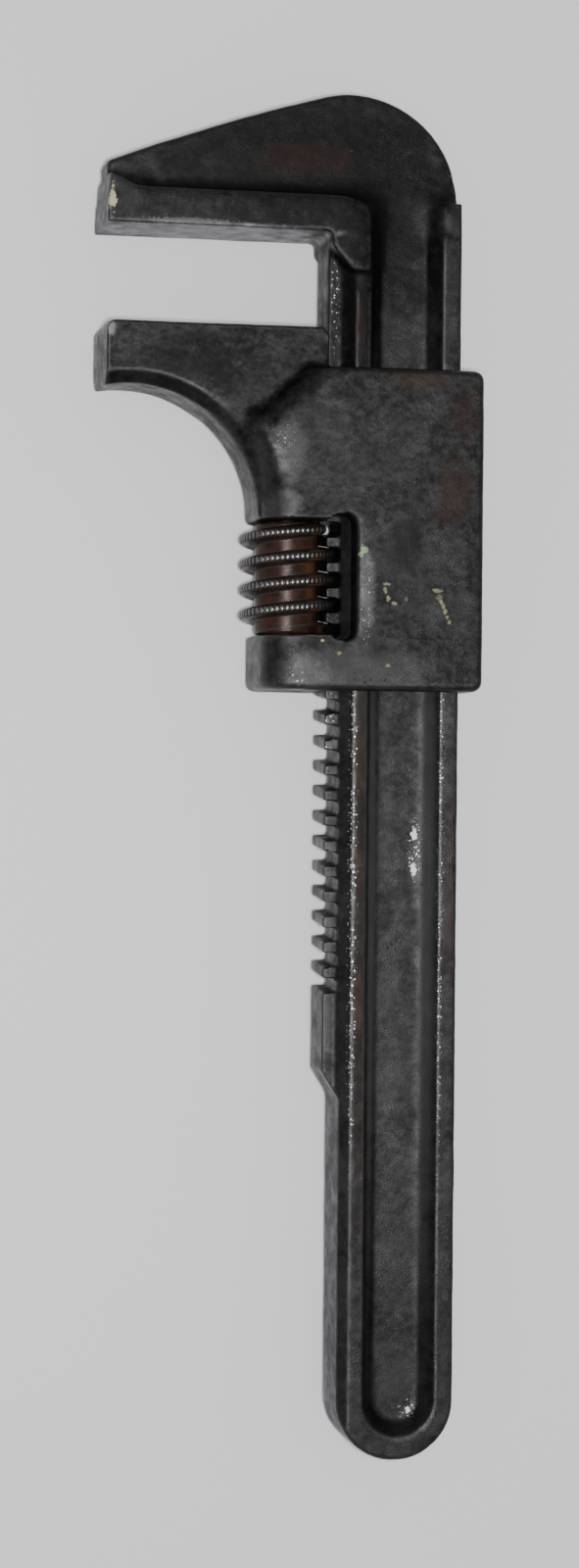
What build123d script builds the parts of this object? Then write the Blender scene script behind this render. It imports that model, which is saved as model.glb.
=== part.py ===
# Adjustable wrench of the old "auto" pattern: a forged bar that is handle, toothed shank and fixed
# jaw in one, a second jaw forged with the sleeve that slides on it, and a worm that drives it.
# Millimetres. +X points from the jaws' tips to the wrench's back, +Y from the handle's end to the
# head, and +Z up from the bench. The wrench lies on the back of its sleeve, and the origin is on the
# bench, under the middle of the wrench's length and width.
import os
from math import acos, atan2, cos, degrees, pi, radians, sin

from build123d import *

# Overall sizes
overall_length = 228.6  # handle's end to the top of the head
jaw_reach = 37.75  # rack tips out to the tips of the jaws
jaw_opening = 16.0  # between the gripping faces, as drawn
jaw_thickness = 15.0

# Shank and handle: one flanged section with a rib along its toothed edge
shank_width = 22.65
flange_thickness = 13.0
rib_thickness = 8.6
rib_depth = 2.15  # tooth tips to the foot of the slope that climbs to the flange
rib_slope_run = 2.26
handle_inset = 2.75  # the handle's edge, back from the rack's tips
handle_relief = 4.6  # length of the slope between the rack's pad and the handle
relief_fillet = 3.0
front_flange_width = 2.54  # flat top between the rib's slope and the recess
recess_depth = 3.1
recess_wall_slope = 36.0
recess_from_back = 3.3  # width of the back flange's top
recess_end_margin = 4.0  # handle's end to the end of the recess
edge_fillet = 0.8

# Rack
thread_pitch = 25.4 / 6
gap_count = 23
gap_depth = 2.45
gap_width_at_tip = 2.45
gap_width_at_root = 2.15
lowest_gap_from_grip = 125.07  # down the bar from the fixed gripping face
pad_margin = 1.7  # middle of the lowest gap to the start of the plain pad
pad_length = 13.0
cut_overrun = 1.0  # each gap's cut starts this far outside the teeth

# Head, above the fixed gripping face
head_height = 23.7
head_radius = 18.2
head_step = 0.15  # the back flange stands out of the head's rim by this much
brow_radius = 330.0  # slight swell of the head's upper edge, from the arch to the tip
tip_radius = 1.0
head_plate_thickness = 7.4
head_plate_fillet = 0.9
plate_overlap = 1.0  # the plate runs this far down into the shank
tip_height = 10.7
tip_slant = 0.5
band_height = 6.3  # thick gripping band, behind the tip
band_height_at_tip = 8.5
band_corner_radius = 4.0
back_flange_above_grip = 5.8
gusset_near = 2.3  # thick root below the gripping face, at the rack's edge
gusset_far = 6.5  # and beside the flange
gusset_flat = 1.0  # its level foot, this much wider than the flange
grip_corner_radius = 0.8

# Sliding jaw
lower_tip_radius = 1.5
throat_radius = 21.5  # hollow curve under the jaw
throat_above_window = 0.3
throat_left_of_rack = 11.9  # where that curve runs out beside the worm
jaw_rise = 6.75  # gripping face above the sleeve
underside_bevel = 2.0
jaw_corner_chamfer = 1.2  # clears the rounded corner of the fixed jaw

# Sleeve
sleeve_length = 53.63
sleeve_thickness = 22.0
sleeve_back_wall = 2.75
slide_clearance = 0.25
nose_from_rack = 11.5  # rack tips out to the rounded nose beside the worm
nose_fillet = 5.6
shoulder_top_from_rack = 5.2  # slanted shoulder's upper end
shoulder_low_from_rack = 14.0  # and its lower end
shoulder_drop = 8.7
nose_straight = 30.4  # straight stretch of the nose, up from the sleeve's lower end
sleeve_corner_radius = 1.8
sleeve_edge_fillet = 1.3

# Worm and its pin
thread_tip_clearance = 0.4  # crest to the bottom of the rack's gaps
worm_core_radius = 5.35
worm_outer_radius = 7.9
thread_crest_width = 1.1
thread_base_width = 2.0
thread_root_sink = 0.6  # the thread starts this far inside the core
thread_end_margin = 1.3  # worm's end face to the middle of the thread's first turn
window_height = 19.1
window_from_end = 9.25  # sleeve's lower end up to the window
window_corner_extra = 0.8  # the window is this much taller beside the rack
window_past_rack = 3.75
window_tall_width = 4.3
window_corner_radius = 1.6
worm_end_clearance = 0.25
pin_radius = 2.25
pin_running_clearance = 0.05
pin_blind_depth = 10.0  # length held above the window
pin_head_radius = 3.0
pin_head_depth = 1.2
pin_head_chamfer = 0.5

# Datums that the pieces share
overall_width = jaw_reach + shank_width + slide_clearance + sleeve_back_wall
tip_x = -overall_width / 2
rack_x = tip_x + jaw_reach
shank_back_x = rack_x + shank_width
sleeve_back_x = overall_width / 2
mid_z = sleeve_thickness / 2
handle_end_y = -overall_length / 2
grip_y = overall_length / 2 - head_height
lower_grip_y = grip_y - jaw_opening
sleeve_top_y = lower_grip_y - jaw_rise
sleeve_low_y = sleeve_top_y - sleeve_length
window_low_y = sleeve_low_y + window_from_end
window_top_y = window_low_y + window_height
lowest_gap_y = grip_y - lowest_gap_from_grip
pad_top_y = lowest_gap_y - pad_margin
pad_low_y = pad_top_y - pad_length
relief_low_y = pad_low_y - handle_relief
worm_x = rack_x - (worm_outer_radius - gap_depth + thread_tip_clearance)
worm_low_y = window_low_y + worm_end_clearance
worm_length = window_height - 2 * worm_end_clearance
flange_x = rack_x + rib_depth + rib_slope_run
recess_width = shank_back_x - recess_from_back - (flange_x + front_flange_width)
lead_angle = degrees(atan2(thread_pitch, pi * (worm_core_radius + worm_outer_radius)))

middle = Plane(origin=(0, 0, mid_z))
os.makedirs("parts", exist_ok=True)


def along(y):
    """A section plane across the wrench at y, seen from the head: its x is +Z and its y is +X."""
    return Plane(origin=(0, y, mid_z), x_dir=(0, 0, 1), z_dir=(0, 1, 0))


def shank_corners():
    """Corners of the shank's cross-section without its recesses, for a sketch on along(y)."""
    half_rib = rib_thickness / 2
    half_flange = flange_thickness / 2
    front = [
        (half_rib, rack_x),
        (half_rib, rack_x + rib_depth),
        (half_flange, flange_x),
        (half_flange, shank_back_x),
    ]
    return front + [(-across, x) for across, x in reversed(front)]


# Bar: handle, shank, rack and fixed jaw
handle_x = rack_x + handle_inset
handle_radius = (shank_back_x - handle_x) / 2
handle_centre = (shank_back_x - handle_radius, handle_end_y + handle_radius)
flange_top_y = grip_y + back_flange_above_grip
head_x = shank_back_x - head_step - head_radius
head_y = overall_length / 2 - head_radius
tip_top = (tip_x + tip_slant, grip_y + tip_height)
# The brow's arc touches the head's arch, so both centres are in line with the point where they meet
tip_run = Vector(tip_top[0] - head_x, tip_top[1] - head_y)
centre_run = brow_radius - head_radius
brow_turn = acos(
    (tip_run.length**2 + centre_run**2 - brow_radius**2) / (2 * tip_run.length * centre_run)
)
touch_angle = degrees(atan2(tip_run.Y, tip_run.X) + brow_turn) - 180
band_root_x = shank_back_x - recess_from_back - recess_width
recess_x = shank_back_x - recess_from_back - recess_width / 2

# Arched plate of the head
touch = (
    head_x + head_radius * cos(radians(touch_angle)),
    head_y + head_radius * sin(radians(touch_angle)),
)
with BuildPart() as head_plate:
    with BuildSketch(middle) as plate_outline:
        with BuildLine():
            CenterArc((head_x, head_y), head_radius, 0, touch_angle)
            RadiusArc(touch, tip_top, -brow_radius)
            Polyline(
                tip_top,
                (tip_x + tip_slant / 2, grip_y + tip_height / 2),
                (rack_x, grip_y + band_height / 2),
                (recess_x, flange_top_y - plate_overlap),
                (head_x + head_radius, flange_top_y - plate_overlap),
                (head_x + head_radius, head_y),
            )
        make_face()
        fillet(plate_outline.vertices().sort_by_distance(tip_top)[0], tip_radius)
    extrude(amount=head_plate_thickness / 2, both=True)
    rim = head_plate.edges().filter_by(GeomType.CIRCLE)
    fillet(rim, head_plate_fillet)

# Thick gripping band, its root and the gusset below it
with BuildPart() as band:
    with BuildSketch(middle) as band_outline:
        with BuildLine():
            Polyline(
                (tip_x, grip_y),
                (tip_x + tip_slant * band_height_at_tip / tip_height, grip_y + band_height_at_tip),
                (tip_x + tip_height / 2, grip_y + band_height),
                (band_root_x, grip_y + band_height),
                (band_root_x, grip_y - gusset_far),
                (flange_x - gusset_flat, grip_y - gusset_far),
                (rack_x, grip_y - gusset_near),
                (rack_x, grip_y),
                close=True,
            )
        make_face()
        fillet(band_outline.vertices().sort_by_distance((rack_x, grip_y))[0], grip_corner_radius)
        band_corner = (band_root_x, grip_y + band_height)
        fillet(band_outline.vertices().sort_by_distance(band_corner)[0], band_corner_radius)
    extrude(amount=jaw_thickness / 2, both=True)

with BuildPart() as fixed_jaw_bar:
    with BuildSketch(along(flange_top_y)):
        Polygon(*shank_corners(), align=None)
    extrude(amount=handle_end_y - flange_top_y)
    with BuildSketch(middle) as side_outline:
        with BuildLine():
            Polyline(
                (shank_back_x, handle_centre[1]),
                (shank_back_x, flange_top_y),
                (rack_x, flange_top_y),
                (rack_x, pad_low_y),
                (handle_x, relief_low_y),
                (handle_x, handle_centre[1]),
            )
            CenterArc(handle_centre, handle_radius, 180, 180)
        make_face()
        fillet(side_outline.vertices().sort_by_distance((handle_x, relief_low_y))[0], relief_fillet)
    extrude(amount=flange_thickness, both=True, mode=Mode.INTERSECT)
    flange_tops = fixed_jaw_bar.faces().filter_by(Axis.Z).group_by(Axis.Z)
    rims = flange_tops[0].edges() + flange_tops[-1].edges()
    fillet(rims.filter_by(lambda rim: rim.center().Y < flange_top_y - edge_fillet), edge_fillet)
    # I-section recesses, open into the head
    recess_low_y = handle_end_y + recess_end_margin
    recess_top_y = flange_top_y + recess_width / 2
    for face in (1, -1):
        face_plane = Plane(origin=(0, 0, mid_z + face * flange_thickness / 2), z_dir=(0, 0, face))
        with BuildSketch(face_plane) as recess:
            with Locations(face_plane.to_local_coords(
                Vector(recess_x, (recess_top_y + recess_low_y) / 2, face_plane.origin.Z)
            )):
                SlotOverall(recess_top_y - recess_low_y, recess_width, rotation=90)
        extrude(amount=-recess_depth, taper=recess_wall_slope, mode=Mode.SUBTRACT)
    add(head_plate.part)
    add(band.part)
    # Rack, cut at the worm's lead angle
    for gap in range(gap_count):
        gap_plane = Plane(
            origin=(rack_x, lowest_gap_y + gap * thread_pitch, mid_z),
            x_dir=(1, 0, 0),
            z_dir=(0, -sin(radians(lead_angle)), cos(radians(lead_angle))),
        )
        with BuildSketch(gap_plane):
            Polygon(
                (-cut_overrun, gap_width_at_tip / 2),
                (gap_depth, gap_width_at_root / 2),
                (gap_depth, -gap_width_at_root / 2),
                (-cut_overrun, -gap_width_at_tip / 2),
                align=None,
            )
        extrude(amount=flange_thickness / 2, both=True, mode=Mode.SUBTRACT)
fixed_jaw_bar.part.label = "fixed_jaw_bar"
export_step(fixed_jaw_bar.part, "parts/fixed_jaw_bar.step")

# Sliding jaw: jaw and sleeve in one forging
nose_x = rack_x - nose_from_rack
shoulder_low = (rack_x - shoulder_low_from_rack, sleeve_top_y - shoulder_drop)
shoulder_top = (rack_x - shoulder_top_from_rack, sleeve_top_y)
nose_top_y = sleeve_low_y + nose_straight
throat_x = rack_x - throat_left_of_rack
blade_back_x = rack_x - slide_clearance
throat_centre = (throat_x - throat_radius, window_top_y + throat_above_window)
throat_end_angle = degrees(acos((tip_x - throat_centre[0]) / throat_radius))
pin_foot = along(sleeve_low_y).shift_origin(Vector(worm_x, sleeve_low_y, mid_z))
pin_length = window_from_end + window_height + pin_blind_depth

with BuildPart() as jaw_blade:
    with BuildSketch(middle) as blade_outline:
        with BuildLine():
            throat = CenterArc(throat_centre, throat_radius, 0, throat_end_angle)
            Polyline(
                throat @ 1,
                (tip_x, lower_grip_y),
                (blade_back_x, lower_grip_y),
                (blade_back_x, throat_centre[1]),
                (throat_x, throat_centre[1]),
            )
        make_face()
        fillet(blade_outline.vertices().sort_by_distance((tip_x, lower_grip_y))[0], lower_tip_radius)
        chamfer(
            blade_outline.vertices().sort_by_distance((blade_back_x, lower_grip_y))[0],
            jaw_corner_chamfer,
        )
    extrude(amount=jaw_thickness / 2, both=True)
    chamfer(
        jaw_blade.edges().filter_by(GeomType.CIRCLE).filter_by(lambda e: e.radius > throat_radius / 2),
        underside_bevel,
    )

with BuildPart() as sliding_jaw:
    with BuildSketch(middle) as sleeve_outline:
        with BuildLine():
            nose = Line((nose_x, sleeve_low_y), (nose_x, nose_top_y))
            upper_nose = Spline(nose @ 1, shoulder_low, tangents=[(0, 1), (-0.5, 1)])
            Polyline(
                upper_nose @ 1,
                shoulder_top,
                (sleeve_back_x, sleeve_top_y),
                (sleeve_back_x, sleeve_low_y),
                nose @ 0,
            )
        make_face()
        fillet(sleeve_outline.vertices().group_by(Axis.X)[-1], sleeve_corner_radius)
    extrude(amount=sleeve_thickness / 2, both=True)
    rims = sliding_jaw.faces().filter_by(Axis.Z).edges()
    fillet(rims.filter_by(lambda rim: rim.center().X < nose_x + nose_fillet / 2), nose_fillet)
    back_rims = sliding_jaw.faces().filter_by(Axis.Z).edges().group_by(Axis.X)[-1]
    fillet(back_rims, sleeve_edge_fillet)
    add(jaw_blade.part)
    # Bore for the shank
    with BuildSketch(along(sleeve_low_y)):
        Polygon(*shank_corners(), align=None)
        offset(amount=slide_clearance, kind=Kind.INTERSECTION)
    extrude(amount=lower_grip_y - sleeve_low_y, mode=Mode.SUBTRACT)
    # Window for the worm, open at the nose and into the bore
    window_x = rack_x + window_past_rack
    window_y = window_low_y + window_height / 2
    with BuildSketch(middle) as window:
        with Locations(((tip_x + window_x) / 2, window_y)):
            Rectangle(window_x - tip_x, window_height)
        with Locations((window_x - window_tall_width / 2, window_y)):
            RectangleRounded(
                window_tall_width, window_height + 2 * window_corner_extra, window_corner_radius
            )
    extrude(amount=sleeve_thickness, both=True, mode=Mode.SUBTRACT)
    # Hole for the worm's pin, up from the sleeve's lower end
    with BuildSketch(pin_foot):
        Circle(pin_radius)
    extrude(amount=pin_length, mode=Mode.SUBTRACT)
    with BuildSketch(pin_foot):
        Circle(pin_head_radius)
    extrude(amount=pin_head_depth, mode=Mode.SUBTRACT)
sliding_jaw.part.label = "sliding_jaw"
export_step(sliding_jaw.part, "parts/sliding_jaw.step")

# Pin that the worm turns on, held above and below the window, with its riveted head below
with BuildPart() as worm_pin:
    with BuildSketch(pin_foot):
        Circle(pin_radius)
    extrude(amount=pin_length)
    with BuildSketch(pin_foot):
        Circle(pin_head_radius)
    extrude(amount=pin_head_depth)
    chamfer(worm_pin.faces().sort_by(Axis.Y)[0].edges(), pin_head_chamfer)
worm_pin.part.label = "worm_pin"
export_step(worm_pin.part, "parts/worm_pin.step")

# Worm: a right-hand single thread whose crest lies in the rack's gaps where they meet. It is made
# standing on its own axis, from the angle where the thread starts, and then laid in the window.
thread_height = worm_length - 2 * thread_end_margin
start_angle = 360 * (worm_low_y + thread_end_margin - lowest_gap_y) / thread_pitch + 90
worm_place = Plane(
    origin=(worm_x, worm_low_y, mid_z),
    x_dir=(sin(radians(start_angle)), 0, cos(radians(start_angle))),
    z_dir=(0, 1, 0),
)
with BuildPart() as worm:
    with BuildLine() as turns:
        Helix(thread_pitch, thread_height, worm_core_radius, center=(0, 0, thread_end_margin))
    with BuildSketch(Plane(origin=turns.line @ 0, x_dir=(1, 0, 0), z_dir=turns.line % 0)):
        Polygon(
            (-thread_root_sink, -thread_base_width / 2),
            (worm_outer_radius - worm_core_radius, -thread_crest_width / 2),
            (worm_outer_radius - worm_core_radius, thread_crest_width / 2),
            (-thread_root_sink, thread_base_width / 2),
            align=None,
        )
    sweep(path=turns.line, is_frenet=True)
    Cylinder(worm_core_radius, worm_length, align=(Align.CENTER, Align.CENTER, Align.MIN))
    Cylinder(
        pin_radius + pin_running_clearance,
        worm_length,
        align=(Align.CENTER, Align.CENTER, Align.MIN),
        mode=Mode.SUBTRACT,
    )
worm.part.locate(worm_place.location)
worm.part.label = "worm"
export_step(worm.part, "parts/worm.step")
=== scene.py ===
# Adjustable wrench: a finished look for every piece, laid on a plain pale floor.
# Metres throughout, in the frame's own axes: +Y towards the head, +Z up off the floor.
import math

import bmesh
import bpy
import numpy as np
from mathutils import Euler, Matrix, Vector


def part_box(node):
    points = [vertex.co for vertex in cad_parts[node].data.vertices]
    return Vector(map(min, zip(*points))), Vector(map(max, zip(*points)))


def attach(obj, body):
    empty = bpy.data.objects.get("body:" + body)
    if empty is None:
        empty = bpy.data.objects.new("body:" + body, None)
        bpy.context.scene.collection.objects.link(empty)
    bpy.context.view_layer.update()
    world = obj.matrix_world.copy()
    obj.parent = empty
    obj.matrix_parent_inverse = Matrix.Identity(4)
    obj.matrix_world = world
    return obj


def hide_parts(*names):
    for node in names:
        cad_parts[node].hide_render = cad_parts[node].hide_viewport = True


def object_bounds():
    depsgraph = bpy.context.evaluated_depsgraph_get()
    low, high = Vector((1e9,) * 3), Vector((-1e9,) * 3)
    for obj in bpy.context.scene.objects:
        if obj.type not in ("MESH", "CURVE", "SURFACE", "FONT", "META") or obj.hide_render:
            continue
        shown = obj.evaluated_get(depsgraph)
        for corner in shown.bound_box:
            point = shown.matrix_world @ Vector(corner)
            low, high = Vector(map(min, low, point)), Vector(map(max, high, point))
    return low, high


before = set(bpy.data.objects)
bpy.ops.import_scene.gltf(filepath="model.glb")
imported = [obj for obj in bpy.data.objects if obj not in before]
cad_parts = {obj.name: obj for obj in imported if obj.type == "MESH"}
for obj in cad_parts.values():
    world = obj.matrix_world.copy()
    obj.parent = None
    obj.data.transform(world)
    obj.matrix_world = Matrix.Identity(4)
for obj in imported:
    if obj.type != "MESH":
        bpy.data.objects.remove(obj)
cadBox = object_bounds()
mm = 0.001
wormLow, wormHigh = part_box("worm")
pinLow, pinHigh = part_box("worm_pin")
print("frame loaded:", ", ".join(sorted(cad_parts)))


# ---- camera and light ----
cameraSet = {
    "lens": 76.6,
    "sensor": 36.0,
    "distance": 0.56,
    "fromLeft": 12.0,  # degrees off the square-on view
    "roll": 0.5,
    "aim": (1.1 * mm, -1.3 * mm, 11 * mm),
}


def makeCamera(values):
    data = bpy.data.cameras.new("camera")
    data.lens = values["lens"]
    data.sensor_fit = "VERTICAL"
    data.sensor_height = values["sensor"]
    data.clip_start = 0.01
    holder = bpy.data.objects.new("camera", data)
    bpy.context.scene.collection.objects.link(holder)
    turn = Euler((0, -math.radians(values["fromLeft"]), 0)).to_matrix()
    back = turn @ Vector((0, 0, values["distance"]))
    rolled = turn @ Matrix.Rotation(math.radians(values["roll"]), 3, "Z")
    holder.matrix_world = Matrix.Translation(Vector(values["aim"]) + back) @ rolled.to_4x4()
    bpy.context.scene.camera = holder


makeCamera(cameraSet)

lightSet = {
    "world": (0.95, 0.96, 1.0),
    "worldStrength": 0.47,
    "lamps": [  # name, place, size, watts
        ("front", (-0.098, -0.008, 0.568), 0.034, 4.0),
    ],
}


def makeLights(values):
    world = bpy.data.worlds.new("softRoom")
    world.use_nodes = True
    background = world.node_tree.nodes["Background"]
    background.inputs["Color"].default_value = (*values["world"], 1)
    background.inputs["Strength"].default_value = values["worldStrength"]
    bpy.context.scene.world = world
    for name, place, size, watts in values["lamps"]:
        lamp = bpy.data.lights.new(name, "AREA")
        lamp.energy = watts
        lamp.size = size
        holder = bpy.data.objects.new(name, lamp)
        holder.location = place
        aim = Vector(cameraSet["aim"]) - Vector(place)
        holder.rotation_euler = aim.to_track_quat("-Z", "Y").to_euler()
        bpy.context.scene.collection.objects.link(holder)


makeLights(lightSet)
print("camera and lights set")


# ---- node helpers ----
def wire(tree, socket, value):
    if isinstance(value, bpy.types.NodeSocket):
        tree.links.new(value, socket)
    elif isinstance(value, tuple) and len(value) == 3 and len(socket.default_value) == 4:
        socket.default_value = (*value, 1)
    else:
        socket.default_value = value


def newGroup(name, inputs, outputs):
    group = bpy.data.node_groups.new(name, "ShaderNodeTree")
    for label, kind, value in inputs:
        socket = group.interface.new_socket(label, in_out="INPUT", socket_type="NodeSocket" + kind)
        if value is not None:
            socket.default_value = value
    for label, kind in outputs:
        group.interface.new_socket(label, in_out="OUTPUT", socket_type="NodeSocket" + kind)
    return group, group.nodes.new("NodeGroupInput"), group.nodes.new("NodeGroupOutput")


def useGroup(tree, group, **inputs):
    made = tree.nodes.new("ShaderNodeGroup")
    made.node_tree = group
    for name, value in inputs.items():
        wire(tree, made.inputs[name], value)
    return made.outputs


def noise(tree, vector, scale, detail=5.0, rough=0.6, warp=0.0):
    made = tree.nodes.new("ShaderNodeTexNoise")
    for name, value in (("Vector", vector), ("Scale", scale), ("Detail", detail),
                        ("Roughness", rough), ("Distortion", warp)):
        wire(tree, made.inputs[name], value)
    return made.outputs["Fac"]


def ramp(tree, value, low, high, toLow=0.0, toHigh=1.0):
    made = tree.nodes.new("ShaderNodeMapRange")
    made.interpolation_type = "SMOOTHSTEP"
    for name, number in (("Value", value), ("From Min", low), ("From Max", high),
                         ("To Min", toLow), ("To Max", toHigh)):
        wire(tree, made.inputs[name], number)
    return made.outputs["Result"]


def maths(tree, operation, a, b=0.0, clamp=False):
    made = tree.nodes.new("ShaderNodeMath")
    made.operation = operation
    made.use_clamp = clamp
    wire(tree, made.inputs[0], a)
    wire(tree, made.inputs[1], b)
    return made.outputs[0]


def tint(tree, amount, under, over):
    made = tree.nodes.new("ShaderNodeMix")
    made.data_type = "RGBA"
    sockets = {s.identifier: s for s in made.inputs}
    wire(tree, sockets["Factor_Float"], amount)
    wire(tree, sockets["A_Color"], under)
    wire(tree, sockets["B_Color"], over)
    return {s.identifier: s for s in made.outputs}["Result_Color"]


def place(tree):
    made = tree.nodes.new("ShaderNodeTexCoord")
    return made.outputs["Object"]


def nearSpot(tree, vector, middle, radii):
    # 1 at a spot on the piece, falling to 0 at its rim
    made = tree.nodes.new("ShaderNodeVectorMath")
    made.operation = "SUBTRACT"
    wire(tree, made.inputs[0], vector)
    made.inputs[1].default_value = middle
    scaled = tree.nodes.new("ShaderNodeVectorMath")
    scaled.operation = "DIVIDE"
    wire(tree, scaled.inputs[0], made.outputs["Vector"])
    scaled.inputs[1].default_value = radii
    length = tree.nodes.new("ShaderNodeVectorMath")
    length.operation = "LENGTH"
    wire(tree, length.inputs[0], scaled.outputs["Vector"])
    return ramp(tree, length.outputs["Value"], 0.0, 1.0, 1.0, 0.0)


# ---- shared surface effects ----
def makeMottle():
    group, into, out = newGroup(
        "mottle",
        [("Vector", "Vector", None), ("Scale", "Float", 90.0), ("Spread", "Float", 0.12)],
        [("Broad", "Float"), ("Fine", "Float")],
    )
    scale = into.outputs["Scale"]
    low = maths(group, "SUBTRACT", 0.5, into.outputs["Spread"])
    high = maths(group, "ADD", 0.5, into.outputs["Spread"])
    broad = noise(group, into.outputs["Vector"], scale, 7.0, 0.62, 0.4)
    fine = noise(group, into.outputs["Vector"], maths(group, "MULTIPLY", scale, 7.0), 6.0, 0.7)
    wire(group, out.inputs["Broad"], ramp(group, broad, low, high))
    wire(group, out.inputs["Fine"], ramp(group, fine, low, high))
    return group


def makeEdgeWear():
    group, into, out = newGroup(
        "edgeWear",
        [("Vector", "Vector", None), ("Edge", "Float", 0.0), ("Breakup", "Float", 420.0),
         ("Amount", "Float", 0.6)],
        [("Mask", "Float")],
    )
    patch = noise(group, into.outputs["Vector"], into.outputs["Breakup"], 6.0, 0.7)
    worn = maths(group, "ADD", into.outputs["Edge"], maths(group, "SUBTRACT", patch, 0.62))
    mask = maths(group, "MULTIPLY", ramp(group, worn, 0.05, 0.45), into.outputs["Amount"], True)
    wire(group, out.inputs["Mask"], mask)
    return group


def makePitting():
    group, into, out = newGroup(
        "pitting",
        [("Vector", "Vector", None), ("Scale", "Float", 700.0), ("Depth", "Float", 1.0)],
        [("Height", "Float")],
    )
    cells = group.nodes.new("ShaderNodeTexVoronoi")
    wire(group, cells.inputs["Vector"], into.outputs["Vector"])
    wire(group, cells.inputs["Scale"], into.outputs["Scale"])
    coverage = noise(group, into.outputs["Vector"], 160.0, 4.0)
    dots = ramp(group, cells.outputs["Distance"], 0.12, 0.38, 1.0, 0.0)
    pits = maths(group, "MULTIPLY", dots, ramp(group, coverage, 0.60, 0.74))
    grainScale = maths(group, "MULTIPLY", into.outputs["Scale"], 2.4)
    grain = noise(group, into.outputs["Vector"], grainScale, 5.0, 0.75)
    height = maths(group, "SUBTRACT", maths(group, "MULTIPLY", grain, 0.8), pits)
    wire(group, out.inputs["Height"], maths(group, "MULTIPLY", height, into.outputs["Depth"]))
    return group


def makeRustBloom():
    group, into, out = newGroup(
        "rustBloom",
        [("Vector", "Vector", None), ("Near", "Float", 0.0), ("Scale", "Float", 260.0),
         ("Spread", "Float", 0.3)],
        [("Mask", "Float"), ("Colour", "Color")],
    )
    cloud = noise(group, into.outputs["Vector"], into.outputs["Scale"], 8.0, 0.68, 0.6)
    lift = maths(group, "ADD", cloud, maths(group, "MULTIPLY", into.outputs["Near"], 0.3))
    edge = maths(group, "SUBTRACT", 1.0, into.outputs["Spread"])
    mask = ramp(group, lift, edge, maths(group, "ADD", edge, 0.2))
    wire(group, out.inputs["Mask"], mask)
    shade = noise(group, into.outputs["Vector"], 900.0, 5.0, 0.7)
    shade = ramp(group, shade, 0.35, 0.65)
    colour = tint(group, shade, (0.030, 0.016, 0.011), (0.110, 0.042, 0.018))
    wire(group, out.inputs["Colour"], colour)
    return group


def makePaintedGlitter():
    # painted glints: picks scattered dots that are later coloured bright
    group, into, out = newGroup(
        "paintedGlitter",
        [("Vector", "Vector", None), ("Scale", "Float", 1800.0), ("Density", "Float", 0.2)],
        [("Mask", "Float")],
    )
    cells = group.nodes.new("ShaderNodeTexVoronoi")
    wire(group, cells.inputs["Vector"], into.outputs["Vector"])
    wire(group, cells.inputs["Scale"], into.outputs["Scale"])
    parts = group.nodes.new("ShaderNodeSeparateColor")
    wire(group, parts.inputs["Color"], cells.outputs["Color"])
    start = maths(group, "SUBTRACT", 1.0, into.outputs["Density"])
    chosen = ramp(group, parts.outputs["Red"], start, maths(group, "ADD", start, 0.04))
    dotShape = ramp(group, cells.outputs["Distance"], 0.22, 0.42, 1.0, 0.0)
    wire(group, out.inputs["Mask"], maths(group, "MULTIPLY", chosen, dotShape))
    return group


paintedGlitter = makePaintedGlitter()
mottle = makeMottle()
edgeWear = makeEdgeWear()
pitting = makePitting()
rustBloom = makeRustBloom()
print("surface effects ready")


# ---- materials ----
def readMark(tree, name):
    made = tree.nodes.new("ShaderNodeAttribute")
    made.attribute_name = name
    return made.outputs["Fac"]


def zoneSum(tree, where, zones):
    # one mask from several soft spots: middle and half sizes in millimetres, and strength
    total = 0.0
    for middle, radii, strength in zones:
        spot = nearSpot(tree, where, [v * mm for v in middle], [v * mm for v in radii])
        total = maths(tree, "ADD", total, maths(tree, "MULTIPLY", spot, strength))
    return total


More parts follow.
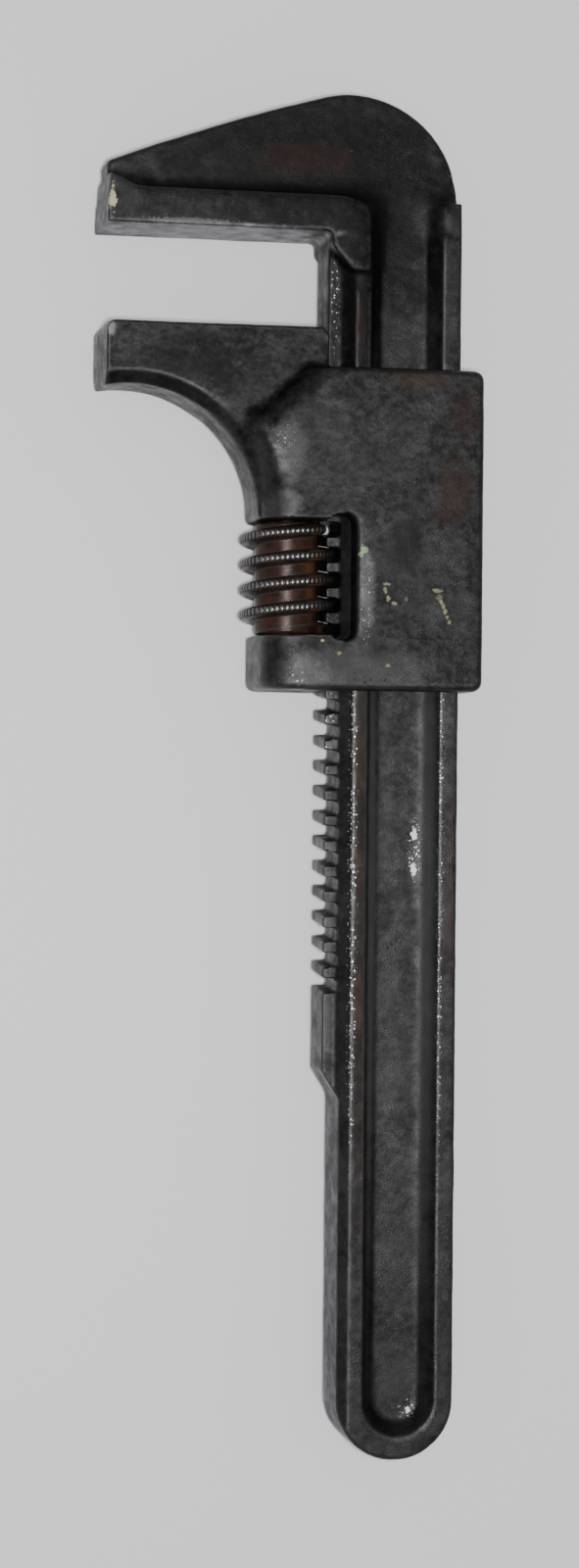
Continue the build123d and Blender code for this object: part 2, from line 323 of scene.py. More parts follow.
def forgedSteel(name, values):
    # dark oiled steel: mottled scale, edges rubbed grey, rust where it is named, fine pits, with painted
    # light and painted shade in named zones and painted glints as bright dots and flakes
    material = bpy.data.materials.new(name)
    material.use_nodes = True
    tree = material.node_tree
    shader = tree.nodes["Principled BSDF"]
    where = place(tree)
    patches = useGroup(tree, mottle, Vector=where, Scale=values["mottleScale"],
                       Spread=values["mottleSpread"])
    # painted light and painted shade: the zones lighten or darken the steel where the lamp's light is strong
    # or weak
    pale = maths(tree, "ADD", patches["Broad"], zoneSum(tree, where, values["paintedLightZones"]))
    colour = tint(tree, maths(tree, "MULTIPLY", pale, 1.0, True), values["dark"], values["grey"])
    speck = maths(tree, "MULTIPLY", patches["Fine"], values["fineAmount"])
    colour = tint(tree, speck, colour, values["light"])
    ragged = maths(tree, "SUBTRACT", noise(tree, where, values["patchScale"], 6.0, 0.65), 0.5)
    for middle, radii, paint, strength in values["patches"]:
        spot = nearSpot(tree, where, [v * mm for v in middle], [v * mm for v in radii])
        gate = ramp(tree, spot, 0.0, 0.3)
        spot = ramp(tree, maths(tree, "ADD", spot, maths(tree, "MULTIPLY", ragged, 1.6)), 0.1, 0.7)
        spot = maths(tree, "MULTIPLY", spot, gate)
        colour = tint(tree, maths(tree, "MULTIPLY", spot, strength), colour, paint)
    grime = maths(tree, "MULTIPLY", readMark(tree, "hollow"), values["grime"], True)
    colour = tint(tree, grime, colour, values["grimeColour"])
    worn = useGroup(tree, edgeWear, Vector=where, Edge=readMark(tree, "edge"),
                    Breakup=values["wearBreakup"], Amount=values["wear"])["Mask"]
    colour = tint(tree, worn, colour, values["bright"])
    near = zoneSum(tree, where, values["rustSpots"])
    rust = useGroup(tree, rustBloom, Vector=where, Near=near, Scale=values["rustScale"],
                    Spread=values["rustSpread"])
    rusty = maths(tree, "MULTIPLY", rust["Mask"], values["rust"])
    colour = tint(tree, rusty, colour, rust["Colour"])
    small = maths(tree, "SUBTRACT", noise(tree, where, values["chipBreakup"], 5.0, 0.7), 0.5)
    chipAndFlakeCover = 0.0
    # real paint chips and wear, and in the bar also painted glint flakes
    for middle, radii, paint, strength in values["chipsAndGlintFlakes"]:
        spot = nearSpot(tree, where, [v * mm for v in middle], [v * mm for v in radii])
        gate = maths(tree, "MULTIPLY", ramp(tree, spot, 0.0, 0.3), strength)
        spot = maths(tree, "ADD", spot, maths(tree, "MULTIPLY", small, 3.0))
        spot = maths(tree, "MULTIPLY", ramp(tree, spot, 0.36, 0.56), gate)
        colour = tint(tree, spot, colour, paint)
        chipAndFlakeCover = maths(tree, "MAXIMUM", chipAndFlakeCover, spot)
    # painted glints: bright dots of colour, thick in the oil zones and a few strays everywhere, stand in for
    # the lamp's sparkle; the oil zones also lower the roughness
    glossAndGlintShare = maths(tree, "MULTIPLY", zoneSum(tree, where, values["oilGlossAndGlintZones"]), 1.0, True)
    dots = useGroup(tree, paintedGlitter, Vector=where, Scale=values["dotScale"],
                    Density=values["dotDensity"])["Mask"]
    sparse = useGroup(tree, paintedGlitter, Vector=where, Scale=values["dotScale"] * 0.8,
                      Density=values["strayDots"])["Mask"]
    sparse = maths(tree, "MULTIPLY", sparse, 0.6)
    dots = maths(tree, "MAXIMUM", maths(tree, "MULTIPLY", dots, glossAndGlintShare), sparse)
    colour = tint(tree, dots, colour, values["paintedGlintColour"])
    wire(tree, shader.inputs["Base Color"], colour)
    shine = noise(tree, where, values["shineScale"], 6.0, 0.65)
    rough = ramp(tree, shine, 0.3, 0.7, values["roughLow"], values["roughHigh"])
    rough = maths(tree, "SUBTRACT", rough, maths(tree, "MULTIPLY", worn, 0.10))
    rough = maths(tree, "SUBTRACT", rough, maths(tree, "MULTIPLY", glossAndGlintShare, values["oilGloss"]))
    rough = maths(tree, "ADD", rough, maths(tree, "MULTIPLY", rusty, 0.2))
    rough = ramp(tree, rough, 0.0, 1.0, 0.10, 0.95)
    wire(tree, shader.inputs["Roughness"], rough)
    covered = maths(tree, "MAXIMUM", maths(tree, "MULTIPLY", rusty, 0.85), chipAndFlakeCover)
    bare = maths(tree, "SUBTRACT", 1.0, covered)
    matte = zoneSum(tree, where, values["matteZones"])
    bare = maths(tree, "SUBTRACT", maths(tree, "MULTIPLY", bare, values["metal"]), matte, True)
    wire(tree, shader.inputs["Metallic"], bare)
    pits = useGroup(tree, pitting, Vector=where, Scale=values["pitScale"], Depth=1.0)
    bump = tree.nodes.new("ShaderNodeBump")
    bump.inputs["Strength"].default_value = values["bump"]
    bump.inputs["Distance"].default_value = values["bumpHeight"]
    wire(tree, bump.inputs["Height"], pits["Height"])
    wire(tree, shader.inputs["Normal"], bump.outputs["Normal"])
    return material


# lists hold spots in millimetres: middle, half sizes, then paint and strength
steelBase = {
    "dark": (0.0115, 0.0112, 0.0112),
    "grey": (0.027, 0.0267, 0.027),
    "light": (0.060, 0.060, 0.062),
    "bright": (0.20, 0.20, 0.205),
    "grimeColour": (0.006, 0.0055, 0.005),
    "fineAmount": 0.30,
    "mottleScale": 110.0,
    "mottleSpread": 0.17,
    "patchScale": 330.0,
    "paintedLightZones": [],
    "patches": [],
    "grime": 0.15,
    "wear": 0.08,
    "wearBreakup": 620.0,
    "rust": 0.5,
    "rustScale": 240.0,
    "rustSpread": 0.34,
    "rustSpots": [],
    "chipsAndGlintFlakes": [],
    "chipBreakup": 1300.0,
    "matteZones": [],
    "oilGlossAndGlintZones": [],
    "oilGloss": 0.22,
    "dotScale": 2500.0,
    "dotDensity": 0.24,
    "strayDots": 0.007,
    # colour of the painted glint dots
    "paintedGlintColour": (0.62, 0.63, 0.65),
    "shineScale": 300.0,
    "roughLow": 0.34,
    "roughHigh": 0.54,
    "metal": 0.92,
    "pitScale": 1500.0,
    "bump": 0.8,
    "bumpHeight": 0.00011,
}
cream = (0.34, 0.30, 0.19)
mossGreen = (0.12, 0.20, 0.075)
straw = (0.17, 0.165, 0.080)
brown = (0.034, 0.020, 0.015)
darkBrown = (0.022, 0.014, 0.011)
# painted glint: bright flakes standing in for the lamp's reflection
paintedGlintFlake = (0.62, 0.64, 0.67)
# grit grey; on the sleeve's ridge and window edge it is a painted highlight
gritAndSheenGrey = (0.105, 0.105, 0.108)

barFinish = {
    **steelBase,
    "dotDensity": 0.34,
    "paintedLightZones": [
        # painted light: the handle's recess floor and left flange lighter
        ((19, -50, 14), (5, 70, 4), 0.25),
        ((10, -90, 17), (7, 30, 5), 0.2),
        # painted shade: the head darker, and the rack teeth inside the window darker
        ((3, 100, 11), (40, 24, 14), -0.8),
        ((6.5, 33, 13), (4, 16, 6), -0.8),
    ],
    "patches": [
        # painted shade: the head darker where the lamp's light falls off
        ((2, 96, 11), (54, 44, 18), (0.0070, 0.0068, 0.0068), 0.70),
        # painted light on the recess's side walls, which face away from the lamp
        ((24.0, -14, 15.5), (2.4, 112, 3.8), (0.032, 0.032, 0.033), 0.8),
        ((14.2, -14, 15.5), (2.2, 112, 3.4), (0.045, 0.045, 0.045), 0.9),
        ((6.8, -18, 14), (1.6, 60, 5), gritAndSheenGrey, 0.2),
        ((12.0, -17, 17.5), (2.4, 110, 1.8), (0.013, 0.0105, 0.009), 0.8),
        ((-12, 90.2, 11), (34, 1.8, 16), (0.17, 0.17, 0.175), 0.95),
        ((11.2, 77, 17), (6, 19, 6), (0.006, 0.0055, 0.0055), 0.95),
        ((11.2, 75, 17.5), (1.4, 7, 2), brown, 0.25),
        ((11.6, 2, 17.5), (1.3, 9, 2), darkBrown, 0.6),
        ((11.7, -14, 17.5), (1.1, 6, 2), darkBrown, 0.5),
        ((11.8, -38, 17.5), (1.2, 10, 2), brown, 0.6),
        ((2, 103, 15), (14, 5, 3), (0.024, 0.014, 0.012), 0.5),
        ((27.3, -20, 17.5), (1.2, 30, 2), brown, 0.4),
    ],
    "rustSpots": [
        ((11.5, -20, 17), (2, 40, 3), 0.5),
        ((27, 0, 17), (2, 60, 3), 0.25),
        ((11, 75, 17), (3, 14, 3), 0.5),
    ],
    "chipsAndGlintFlakes": [
        ((-31.0, 94.6, 18.5), (1.2, 3.6, 1.4), cream, 1.0),
        ((-18, 91.3, 18.4), (13, 0.8, 1.2), (0.12, 0.12, 0.115), 0.35),
        ((27.5, 101.5, 14.7), (0.6, 0.6, 1.0), cream, 0.8),
        # painted glints in the recess, not reflections
        ((21.9, -9.6, 14.6), (0.9, 1.9, 1.6), paintedGlintFlake, 1.0),
        ((21.7, -15.3, 14.6), (0.9, 2.3, 1.6), paintedGlintFlake, 1.0),
        ((21.5, -106.3, 14.8), (0.8, 0.9, 1.6), paintedGlintFlake, 0.6),
    ],
    "matteZones": [  # the recess's steep walls
        ((24.0, -14, 15.5), (2.2, 112, 3.6), 0.9),
        ((24.0, -14, 6.5), (2.2, 112, 3.6), 0.9),
        ((14.2, -14, 15.5), (2.0, 112, 3.2), 1.2),
        ((14.2, -14, 6.5), (2.0, 112, 3.2), 1.2),
    ],
    "oilGlossAndGlintZones": [
        # lower roughness, and the painted glint dots, along the flanges, in the recess and on the rack
        ((10.6, -17, 17.2), (1.1, 62, 1.8), 1.8),
        ((25.7, -17, 17.2), (0.8, 70, 1.6), 0.8),
        ((21.9, -12, 15), (1.6, 7, 2.5), 1.3),
        ((21.3, -106, 15), (2.2, 2.4, 2.5), 1.0),
        ((7.2, 80, 15.3), (1.0, 12, 1.2), 0.6),
        ((6.4, 8, 15.3), (2.4, 10, 1.6), 0.8),
    ],
}
jawFinish = {
    **steelBase,
    "dark": (0.0090, 0.0086, 0.0083),
    "grey": (0.0176, 0.0168, 0.0163),
    "light": (0.050, 0.050, 0.051),
    "mottleScale": 85.0,
    "mottleSpread": 0.11,
    "fineAmount": 0.38,
    "paintedLightZones": [
        # painted highlights on the sleeve's rounded ridge and the window's back edge, and painted light on
        # the lower sleeve
        ((0, 56, 20), (7, 10, 6), 0.4),
        ((12, 28, 21), (3, 14, 3), 0.4),
        ((10, 17, 21), (26, 8, 5), 0.7),
    ],
    "patches": [
        # painted shade: the jaw blade darker towards the head
        ((-17, 68, 11), (24, 11, 20), (0.0075, 0.0073, 0.0073), 0.7),
        # painted highlight on the sleeve's rounded ridge
        ((-1.5, 54, 21), (4.5, 9, 5), gritAndSheenGrey, 0.25),
        # painted light: the lower sleeve lighter
        ((9, 17, 21), (22, 7, 5), (0.040, 0.0395, 0.039), 0.6),
        # painted highlight along the window's back edge
        ((11.8, 31, 21), (2.2, 13, 3), gritAndSheenGrey, 0.35),
        ((2, 17, 21), (6, 5, 4), gritAndSheenGrey, 0.35),
        ((-2, 45, 20), (5, 4, 6), gritAndSheenGrey, 0.3),
        ((18.2, 39, 22), (4.5, 8, 3), (0.0105, 0.0103, 0.010), 0.8),
        ((26.5, 47, 22), (6, 9, 3), darkBrown, 0.6),
        ((20, 66, 22), (9, 3, 3), brown, 0.5),
        ((28, 60, 22), (4, 8, 3), (0.020, 0.013, 0.011), 0.5),
        ((-31, 73.4, 17.5), (1.6, 2.2, 4), (0.14, 0.138, 0.135), 0.9),
    ],
    "rustSpots": [((26, 46, 22), (7, 10, 4), 0.2)],
    "chipsAndGlintFlakes": [
        ((11.1, 37.4, 22), (1.0, 1.2, 1.2), mossGreen, 0.9),
        ((10.4, 36.8, 22), (0.9, 0.8, 1.2), mossGreen, 0.7),
        ((15.0, 31.9, 22), (1.0, 0.5, 1.2), straw, 0.6),
        ((14.7, 30.9, 22), (0.5, 1.0, 1.2), straw, 0.7),
        ((15.2, 29.6, 22), (0.6, 0.8, 1.2), straw, 0.7),
        ((16.2, 28.8, 22), (0.9, 0.5, 1.2), straw, 0.6),
        ((18.3, 29.5, 22), (0.5, 0.9, 1.2), straw, 0.3),
        ((23.6, 31.0, 22), (1.4, 0.6, 1.2), straw, 0.6),
        ((24.0, 29.8, 22), (1.0, 0.9, 1.2), straw, 0.3),
        *[((24.3 + 0.33 * k, 29.2 - 0.85 * k, 22), (0.5, 0.75, 1.2), straw, 0.7)
          for k in range(5)],  # one slanting scratch
        ((4.1, 22.4, 22), (0.6, 0.5, 1.2), (0.36, 0.28, 0.11), 0.9),
        ((7.1, 20.3, 22), (0.8, 0.5, 1.2), (0.20, 0.14, 0.07), 0.6),
        ((15.3, 18.5, 22), (0.7, 0.5, 1.2), (0.20, 0.13, 0.07), 0.7),
    ],
    "oilGlossAndGlintZones": [
        # lower roughness, and the painted glint dots, on the sleeve's ridge and near the window
        ((-2.6, 56, 20), (3, 4, 4), 0.8),
        ((0, 16, 21), (3, 3, 3), 0.6),
        ((11.5, 30, 21.5), (2, 12, 2), 0.35),
    ],
}
barSteel = forgedSteel("forgedBarSteel", barFinish)
jawSteel = forgedSteel("forgedJawSteel", jawFinish)
pinSteel = forgedSteel("pinSteel", {**steelBase, "grey": (0.06, 0.059, 0.058)})

wormFinish = {
    "core": (0.016, 0.009, 0.007),
    "coreLight": (0.038, 0.016, 0.010),
    "glow": (0.095, 0.036, 0.015),
    "glowSpot": ((4.0, 33, 17), (2.8, 14, 4)),  # where the core's rust is brightest
    "flank": (0.026, 0.025, 0.024),
    "crest": (0.150, 0.147, 0.143),
    "notch": (0.020, 0.019, 0.018),
    "mottleScale": 380.0,
    "mottleSpread": 0.14,
    "glowStrength": 0.7,
    "specular": 0.14,
    "shineScale": 500.0,
    "roughLow": 0.18,
    "roughHigh": 0.40,
    "pitScale": 1400.0,
    "bump": 0.5,
    "bumpHeight": 0.00008,
}


def rustyWorm(name, values):
    # rusted core between threads whose rubbed crests are grey
    material = bpy.data.materials.new(name)
    material.use_nodes = True
    tree = material.node_tree
    shader = tree.nodes["Principled BSDF"]
    where = place(tree)
    patches = useGroup(tree, mottle, Vector=where, Scale=values["mottleScale"],
                       Spread=values["mottleSpread"])
    colour = tint(tree, patches["Broad"], values["core"], values["coreLight"])
    middle, radii = values["glowSpot"]
    glow = nearSpot(tree, where, [v * mm for v in middle], [v * mm for v in radii])
    glow = maths(tree, "MULTIPLY", ramp(tree, glow, 0.1, 0.6), values["glowStrength"])
    colour = tint(tree, glow, colour, values["glow"])
    rise = readMark(tree, "crest")
    colour = tint(tree, ramp(tree, readMark(tree, "hollow"), 0.1, 0.8), colour, values["flank"])
    colour = tint(tree, ramp(tree, rise, 0.0, 0.25), colour, values["flank"])
    uneven = ramp(tree, patches["Fine"], -0.6, 0.7)
    rubbed = maths(tree, "MULTIPLY", ramp(tree, rise, 0.55, 0.95), uneven)
    colour = tint(tree, rubbed, colour, values["crest"])
    cut = ramp(tree, readMark(tree, "notch"), 0.2, 0.8, 0.0, 0.85)
    colour = tint(tree, cut, colour, values["notch"])
    wire(tree, shader.inputs["Base Color"], colour)
    metal = ramp(tree, rise, 0.0, 0.5, 0.15, 0.9)
    wire(tree, shader.inputs["Metallic"], metal)
    shader.inputs["Specular IOR Level"].default_value = values["specular"]
    shine = noise(tree, where, values["shineScale"], 5.0)
    rough = ramp(tree, shine, 0.3, 0.7, values["roughLow"], values["roughHigh"])
    wire(tree, shader.inputs["Roughness"], rough)
    pits = useGroup(tree, pitting, Vector=where, Scale=values["pitScale"], Depth=1.0)
    bump = tree.nodes.new("ShaderNodeBump")
    bump.inputs["Strength"].default_value = values["bump"]
    bump.inputs["Distance"].default_value = values["bumpHeight"]
    wire(tree, bump.inputs["Height"], pits["Height"])
    wire(tree, shader.inputs["Normal"], bump.outputs["Normal"])
    return material


wormSteel = rustyWorm("rustyWormSteel", wormFinish)
print("materials ready")


# ---- mesh helpers ----
def copyNode(node, name):
    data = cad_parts[node].data.copy()
    data.materials.clear()
    made = bpy.data.objects.new(name, data)
    bpy.context.scene.collection.objects.link(made)
    return made


def applyModifiers(piece):
    bpy.context.view_layer.update()
    graph = bpy.context.evaluated_depsgraph_get()
    data = bpy.data.meshes.new_from_object(piece.evaluated_get(graph), depsgraph=graph)
    piece.modifiers.clear()
    old = piece.data
    piece.data = data
    bpy.data.meshes.remove(old)
    return piece


def points(piece):
    co = np.empty(len(piece.data.vertices) * 3)
    piece.data.vertices.foreach_get("co", co)
    return co.reshape(-1, 3)


def setPoints(piece, co):
    piece.data.vertices.foreach_set("co", co.ravel())
    piece.data.update()


def edgeEnds(piece):
    ends = np.empty(len(piece.data.edges) * 2, dtype=np.int64)
    piece.data.edges.foreach_get("vertices", ends)
    return ends.reshape(-1, 2)


def vertexNormals(piece):
    normals = np.empty(len(piece.data.vertices) * 3, dtype=np.float32)
    piece.data.vertex_normals.foreach_get("vector", normals)
    return normals.reshape(-1, 3).astype(float)


def spread(values, ends, rounds):
    # averages each point with its neighbours, rounds times over
    size = len(values)
    flat = values.reshape(size, -1)
    near, far = np.concatenate([ends[:, 0], ends[:, 1]]), np.concatenate([ends[:, 1], ends[:, 0]])
    count = np.maximum(np.bincount(near, minlength=size), 1)
    for _ in range(rounds):
        total = [np.bincount(near, weights=column[far], minlength=size) for column in flat.T]
        flat = 0.5 * flat + 0.5 * np.stack(total, axis=1) / count[:, None]
    return flat.reshape(values.shape)


def softenZone(co, ends, share, rounds):
    # melts the shape together where share is above 0
    inside = share > 0
    index = np.cumsum(inside) - 1
    kept = ends[inside[ends].all(axis=1)]
    part = spread(co[inside], index[kept], rounds)
    amount = share[inside][:, None]
    made = co.copy()
    made[inside] = co[inside] * (1 - amount) + part * amount
    return made


def smoothStep(value):
    value = np.clip(value, 0, 1)
    return value * value * (3 - 2 * value)


def smoothNoise(co, cell, seed):
    # soft bumps about one cell across, from -1 to 1
    draw = np.random.default_rng(seed)
    total = np.zeros(len(co))
    for _ in range(14):
        direction = draw.normal(size=3)
        direction /= np.linalg.norm(direction)
        wave = 2 * math.pi / (cell * draw.uniform(0.7, 1.6))
        total += np.sin(co @ direction * wave + draw.uniform(0, 2 * math.pi))
    return total / math.sqrt(14)


def markEdges(piece, edgeReach, hollowReach):
    # stores how far each point stands proud of, or lies below, its surroundings
    co, ends, normals = points(piece), edgeEnds(piece), vertexNormals(piece)
    for name, reach, sign in (("edge", edgeReach, 1.0), ("hollow", hollowReach, -1.0)):
        soft = spread(co, ends, reach)
        proud = np.einsum("ij,ij->i", co - soft, normals) * sign
        scale = np.percentile(proud[proud > 0], 96) if (proud > 0).any() else 1.0
        value = np.clip(proud / max(scale, 1e-9), 0, 1)
        mark = piece.data.attributes.new(name, "FLOAT", "POINT")
        mark.data.foreach_set("value", value.astype(np.float32))


def keepInBox(piece, low, high):
    setPoints(piece, np.clip(points(piece), np.array(low), np.array(high)))


def countTriangles(piece):
    return sum(len(p.vertices) - 2 for p in piece.data.polygons)


def finishMesh(piece, material):
    piece.data.materials.clear()
    piece.data.materials.append(material)
    piece.data.shade_smooth()


# ---- the two forgings ----
forgingSet = {
    "voxel": 0.30 * mm,
    "soften": 1,
    "wave": 9 * mm,
    "waveDepth": 0.05 * mm,
    "hammer": 1.9 * mm,
    "hammerDepth": 0.02 * mm,
    "edgeReach": 5,  # rounds of averaging that find the proud edges, and the hollows
    "hollowReach": 14,
    "mostTriangles": 180000,
}


noseSet = {
    "from": 45.5,  # up the sleeve, where the nose's wide rounding starts to narrow
    "to": 58.5,
    "wide": 5.6,
    "narrow": 1.4,
    "edge": -5.45,  # the nose's straight edge, and how far its upper end flares out
    "flare": 2.5,
    "flareFrom": 44.6,
    "flareRun": 14.5,
    "half": 11.0,  # half the sleeve's thickness
    "blade": 7.5,  # half the jaw's own thickness
    "shoulderX": -7.95,  # lower end of the shoulder's slanting edge
    "shoulderY": 59.13,
}


def quarterArc(radius, inward):
    return np.sqrt(np.maximum(radius ** 2 - np.maximum(radius - inward, 0) ** 2, 0))


def narrowNose(co, values):
    # lets the sleeve's flat face run out to the shoulder's corner, with a ridge slanting down from it
    x, y, z = co.T / mm
    t = np.clip((y - values["flareFrom"]) / values["flareRun"], 0, 1)
    inward = x - (values["edge"] - values["flare"] * t ** 2.9)
    share = smoothStep((y - values["from"]) / (values["to"] - values["from"]))
    radius = values["wide"] + (values["narrow"] - values["wide"]) * share
    side = np.sign(z - values["half"])
    height = np.abs(z - values["half"])
    wanted = values["half"] - radius + quarterArc(radius, inward)
    before = values["half"] - values["wide"] + quarterArc(values["wide"], inward)
    stretch = (wanted - values["blade"]) / np.maximum(before - values["blade"], 0.3)
    raised = values["blade"] + (height - values["blade"]) * np.maximum(stretch, 1)
    raised = np.where(before > values["blade"] + 0.3, np.minimum(raised, np.maximum(wanted, height)), wanted)
    shoulder = values["shoulderY"] + x - values["shoulderX"]
    moved = (y > values["from"]) & (y < shoulder + 0.3) & (inward > 0.05) & (inward < values["wide"] + 0.3)
    floorHeight = values["half"] - values["wide"] + 0.4
    moved &= height > np.where(y > shoulder - 0.4, values["blade"] + 0.05, floorHeight)
    lifted = np.where(moved, np.maximum(height, raised), height)
    return np.stack([x, y, values["half"] + side * lifted], axis=1) * mm


def makeForging(node, name, material, seed, values, blendZones, reshape=None):
    piece = copyNode(node, name)
    low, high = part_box(node)
    remesh = piece.modifiers.new("remesh", "REMESH")
    remesh.mode = "VOXEL"
    remesh.voxel_size = values["voxel"]
    applyModifiers(piece)
    ends = edgeEnds(piece)
    co = points(piece)
    if reshape:
        co = reshape(co)
    soft = spread(co, ends, values["soften"])
    for middle, radii, rounds in blendZones:  # places where the forging runs together softly
        away = np.abs(soft / mm - np.array(middle)) / np.array(radii)
        share = np.clip(3.0 - 3.0 * away.max(axis=1), 0, 1)
        soft = softenZone(soft, ends, smoothStep(share), rounds)
    setPoints(piece, soft)
    normals = vertexNormals(piece)
    # mostly inward, so that the skin keeps its clearances
    lift = (smoothNoise(soft, values["wave"], seed) - 1.2) * values["waveDepth"] * 0.5
    lift += (smoothNoise(soft, values["hammer"], seed + 1) - 1.0) * values["hammerDepth"] * 0.5
    setPoints(piece, soft + normals * lift[:, None])
    keepInBox(piece, low, high)
    markEdges(piece, values["edgeReach"], values["hollowReach"])
    triangles = countTriangles(piece)
    print(name, "triangles", triangles)
    if triangles > values["mostTriangles"]:
        thin = piece.modifiers.new("thin", "DECIMATE")
        thin.ratio = values["mostTriangles"] / triangles
        applyModifiers(piece)
    finishMesh(piece, material)
    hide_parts(node)
    return piece


# the last lists hold zones: middle, half sizes in millimetres, and rounds of smoothing
bar = makeForging("fixed_jaw_bar", "fixedJawBar", barSteel, 101, forgingSet, [
    ((22.6, -8, 14.6), (1.9, 98, 1.2), 30),  # foot of the recess's back wall
    ((22.6, -8, 7.4), (1.9, 98, 1.2), 30),
    ((18, 95.5, 11), (11, 6, 9), 90),  # recess running out into the head
    ((-8, 97.5, 11), (28, 2.6, 9), 60),  # crease above the gripping band
    ((13, 92, 11), (4, 9, 9), 50),
    ((11, 84, 11), (4, 4, 9), 24),  # gusset under it
    ((7.5, 83.5, 11), (3.5, 9, 9), 10),
    ((19.2, -105, 11), (7, 8, 9), 14),  # hollow end of the recess
])
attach(bar, "bar")
jaw = makeForging("sliding_jaw", "slidingJaw", jawSteel, 202, forgingSet, [
    ((-9.5, 62, 11), (6, 10, 13), 24),  # shoulder melting into the jaw
    ((0, 66, 11), (9, 7, 13), 16),
    ((-9, 53, 11), (6, 9, 13), 45),
    ((10.5, 33, 22), (3.2, 13, 3.2), 40),  # rounded back edge of the window
    ((10.5, 33, 0), (3.2, 13, 3.2), 40),
    ((-3.5, 52, 22), (5, 9, 4), 45),
    ((-3.5, 52, 0), (5, 9, 4), 45),
    ((-4, 18, 11), (6, 7, 13), 16),
], lambda co: narrowNose(co, noseSet))
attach(jaw, "jaw")
print("forgings made")


# ---- worm ----
wormSet = {
    "turnSteps": 440,
    "lengthStep": 0.1 * mm,
    "core": 5.35 * mm,
    "bore": 2.3 * mm,
    "pitch": 25.4 / 6 * mm,
    "crestHalf": 0.50 * mm,  # half the crest's flat
    "rootHalf": 1.12 * mm,  # half the thread where it meets the core
    "roundPower": 2.6,
    "flankPower": 0.45,
    "crestRound": 0.12 * mm,
    "knurls": 54,  # notches in each turn's crest
    "knurlDepth": 0.14 * mm,
    "taper": 40.0,  # degrees over which the thread dies away at each end
    "endMargin": 0.75 * mm,
    "endChamfer": 0.35 * mm,
    "inset": 0.03 * mm,
}


def latheGrid(name, radii, heights, steps, centre):
    # closed ring of profiles round an axis along Y; radii may vary with the angle
    count = len(heights)
    turns = np.linspace(0, 2 * math.pi, steps, endpoint=False)
    r = radii if radii.ndim == 2 else np.repeat(radii[None, :], steps, axis=0)
    co = np.empty((steps, count, 3))
    co[:, :, 0] = centre.x + r * np.sin(turns)[:, None]
    co[:, :, 1] = heights[None, :]
    co[:, :, 2] = centre.z + r * np.cos(turns)[:, None]
    a = np.arange(steps)[:, None] * count + np.arange(count)[None, :]
    b = np.roll(a, -1, axis=0)
    faces = np.stack([a, b, np.roll(b, -1, axis=1), np.roll(a, -1, axis=1)], axis=-1).reshape(-1, 4)
    mesh = bpy.data.meshes.new(name)
    mesh.from_pydata(co.reshape(-1, 3).tolist(), [], faces.tolist())
    mesh.update()
    made = bpy.data.objects.new(name, mesh)
    bpy.context.scene.collection.objects.link(made)
    return made


def makeWorm(values, material):
    low, high = wormLow, wormHigh
    centre = (low + high) / 2
    outer = (high.x - low.x) / 2 - values["inset"]
    pitch = values["pitch"]
    # the CAD thread's own crest tells where the visible thread has to run
    co = np.array([v.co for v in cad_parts["worm"].data.vertices], float)
    reach = np.hypot(co[:, 0] - centre.x, co[:, 2] - centre.z)
    crest = co[reach > outer - 0.1 * mm]
    turn = np.arctan2(crest[:, 0] - centre.x, crest[:, 2] - centre.z)
    waves = [np.exp(1j * (2 * math.pi * crest[:, 1] / pitch - hand * turn)).mean() for hand in (1, -1)]
    hand = 1 if abs(waves[0]) > abs(waves[1]) else -1
    phase = np.angle(max(waves, key=abs))
    print("worm thread hand", hand, "fit", round(float(max(map(abs, waves))), 3))

    steps = values["turnSteps"]
    ys = np.arange(low.y, high.y + values["lengthStep"] / 2, values["lengthStep"])
    ys[-1] = high.y
    angle = np.linspace(0, 2 * math.pi, steps, endpoint=False)[:, None]
    signed = np.where(angle > math.pi, angle - 2 * math.pi, angle)
    along = (2 * math.pi * ys[None, :] / pitch - hand * signed - phase) / (2 * math.pi)
    off = (along - np.round(along)) * pitch  # from the thread's middle line
    middleY = ys[None, :] - off
    fromEnd = np.minimum(middleY - low.y, high.y - middleY) - values["endMargin"]
    fade = smoothStep((fromEnd / pitch * 360 + 5) / values["taper"])
    aside = np.clip(np.abs(off) / values["rootHalf"], 0, 1)
    tall = (outer - values["core"]) * (1 - aside ** values["roundPower"]) ** values["flankPower"] * fade
    crestEdge = values["crestHalf"] + values["crestRound"]
    onCrest = smoothStep((crestEdge - np.abs(off)) / values["crestRound"])
    notch = 0.5 + 0.5 * np.cos(values["knurls"] * (signed * hand + 0 * ys[None, :]))
    tall = tall - onCrest * fade * values["knurlDepth"] * notch ** 2
    body = values["core"] + np.maximum(tall, 0)
    ends = np.minimum(ys - low.y, high.y - ys)[None, :]
    body = body - np.clip(values["endChamfer"] - ends, 0, None)
    boreY = ys[::-8]
    heights = np.concatenate([ys, boreY])
    radii = np.concatenate([body, np.full((steps, len(boreY)), values["bore"])], axis=1)
    piece = latheGrid("adjustingWorm", radii, heights, steps, centre)
    crestMark = smoothStep((0.62 * mm - np.abs(off)) / (0.25 * mm)) * fade
    notchMark = onCrest * fade * notch ** 2
    rootMark = smoothStep(1 - np.abs(np.abs(off) / values["rootHalf"] - 1.05) * 3.2)
    extra = np.zeros((steps, len(boreY)))
    for name, value in (("crest", crestMark), ("notch", notchMark), ("hollow", rootMark)):
        mark = piece.data.attributes.new(name, "FLOAT", "POINT")
        mark.data.foreach_set("value", np.concatenate([value, extra], axis=1).ravel().astype(np.float32))
    finishMesh(piece, material)
    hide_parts("worm")
    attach(piece, "worm")
    return piece


worm = makeWorm(wormSet, wormSteel)
print("worm cut")


# ---- pin ----
pinSet = {
    "steps": 64,
    "shank": 2.25 * mm,
    "headHeight": 1.2 * mm,
    "dome": 0.3 * mm,
    "dent": 0.03 * mm,  # how far blows have pushed the head in
    "inset": 0.02 * mm,
}


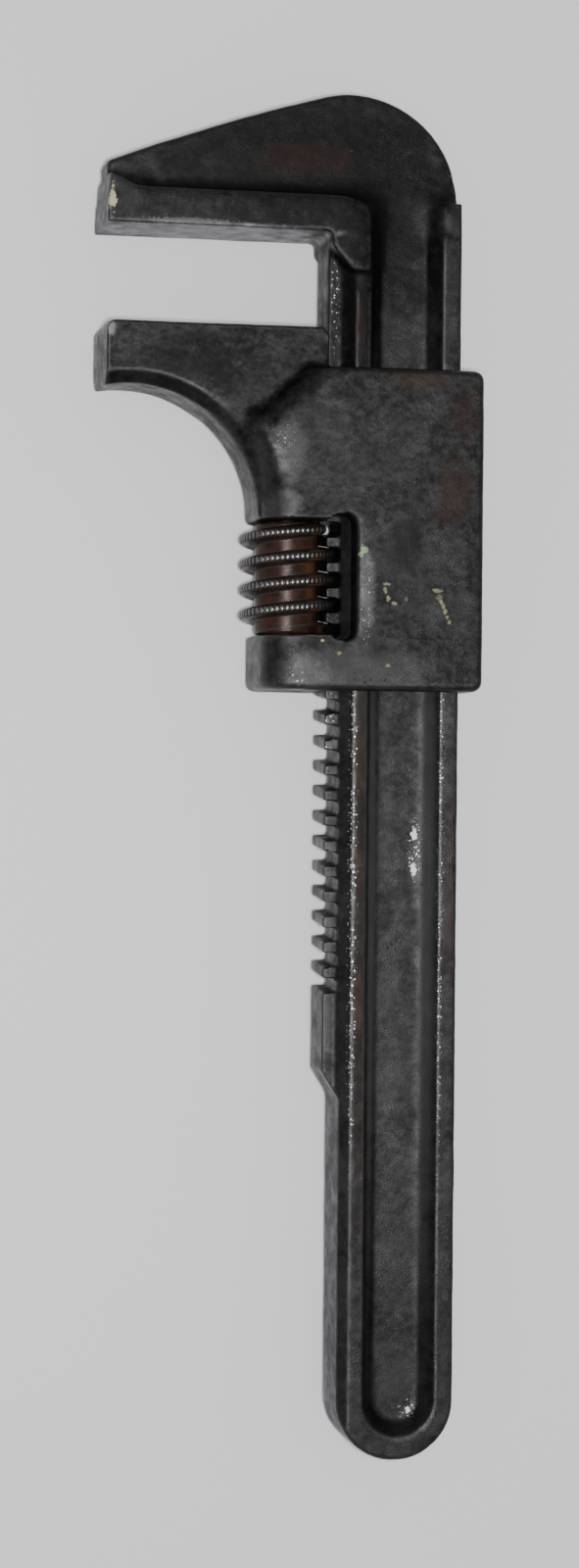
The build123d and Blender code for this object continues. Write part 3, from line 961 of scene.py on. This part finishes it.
def makePin(values, material):
    centre = (pinLow + pinHigh) / 2
    head = (pinHigh.x - pinLow.x) / 2 - values["inset"]
    low, high = pinLow.y, pinHigh.y
    shank = values["shank"] - values["inset"]
    top = low + values["headHeight"] - values["inset"]
    profile = [(0.0, low), (head * 0.35, low + 0.03 * mm), (head * 0.68, low + values["dome"] * 0.4),
               (head * 0.9, low + values["dome"]), (head, low + 0.55 * mm), (head, top - 0.06 * mm),
               (head - 0.06 * mm, top), (shank + 0.1 * mm, top), (shank, top + 0.1 * mm)]
    profile += [(shank, low + (high - low) * t) for t in (0.15, 0.3, 0.5, 0.7, 0.9)]
    profile += [(shank, high - 0.3 * mm), (shank - 0.3 * mm, high), (0.0, high)]
    mesh = bpy.data.meshes.new("wormPin")
    build = bmesh.new()
    draw = np.random.default_rng(31)
    rings = []
    for r, y in profile:
        if r == 0:
            rings.append([build.verts.new((centre.x, y, centre.z))])
            continue
        ring = []
        for k in range(values["steps"]):
            turn = 2 * math.pi * k / values["steps"]
            dent = draw.uniform(0, values["dent"]) if y < low + values["dome"] * 1.2 else 0
            x = centre.x + (r - dent) * math.sin(turn)
            z = centre.z + (r - dent) * math.cos(turn)
            ring.append(build.verts.new((x, y + dent * 0.5, z)))
        rings.append(ring)
    for a, b in zip(rings, rings[1:]):
        for k in range(values["steps"]):
            nextK = (k + 1) % values["steps"]
            if len(a) == 1:
                build.faces.new((a[0], b[nextK], b[k]))
            elif len(b) == 1:
                build.faces.new((a[k], a[nextK], b[0]))
            else:
                build.faces.new((a[k], a[nextK], b[nextK], b[k]))
    bmesh.ops.recalc_face_normals(build, faces=build.faces)
    build.to_mesh(mesh)
    build.free()
    piece = bpy.data.objects.new("wormPin", mesh)
    bpy.context.scene.collection.objects.link(piece)
    markEdges(piece, 1, 1)
    finishMesh(piece, material)
    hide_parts("worm_pin")
    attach(piece, "jaw")
    return piece


pin = makePin(pinSet, pinSteel)
print("pin made")


# ---- floor ----
floorSet = {
    "size": 3.0,
    "drop": 0.0002,  # below the lowest point of the wrench
    "colour": (0.66, 0.66, 0.675),
    "roughness": 0.75,
    "cloudScale": 6.0,
}


def makeFloor(values):
    mesh = bpy.data.meshes.new("floor")
    half = values["size"] / 2
    corners = [(-half, -half, 0), (half, -half, 0), (half, half, 0), (-half, half, 0)]
    mesh.from_pydata(corners, [], [(0, 1, 2, 3)])
    floor = bpy.data.objects.new("floor", mesh)
    bpy.context.scene.collection.objects.link(floor)
    floor.location.z = cadBox[0][2] - values["drop"]
    material = bpy.data.materials.new("paleFloor")
    material.use_nodes = True
    tree = material.node_tree
    shader = tree.nodes["Principled BSDF"]
    cloud = noise(tree, place(tree), values["cloudScale"], 4.0, 0.5)
    lighter = tuple(min(c * 1.04, 1) for c in values["colour"])
    wire(tree, shader.inputs["Base Color"], tint(tree, cloud, values["colour"], lighter))
    shader.inputs["Roughness"].default_value = values["roughness"]
    floor.data.materials.append(material)


makeFloor(floorSet)
print("floor laid")
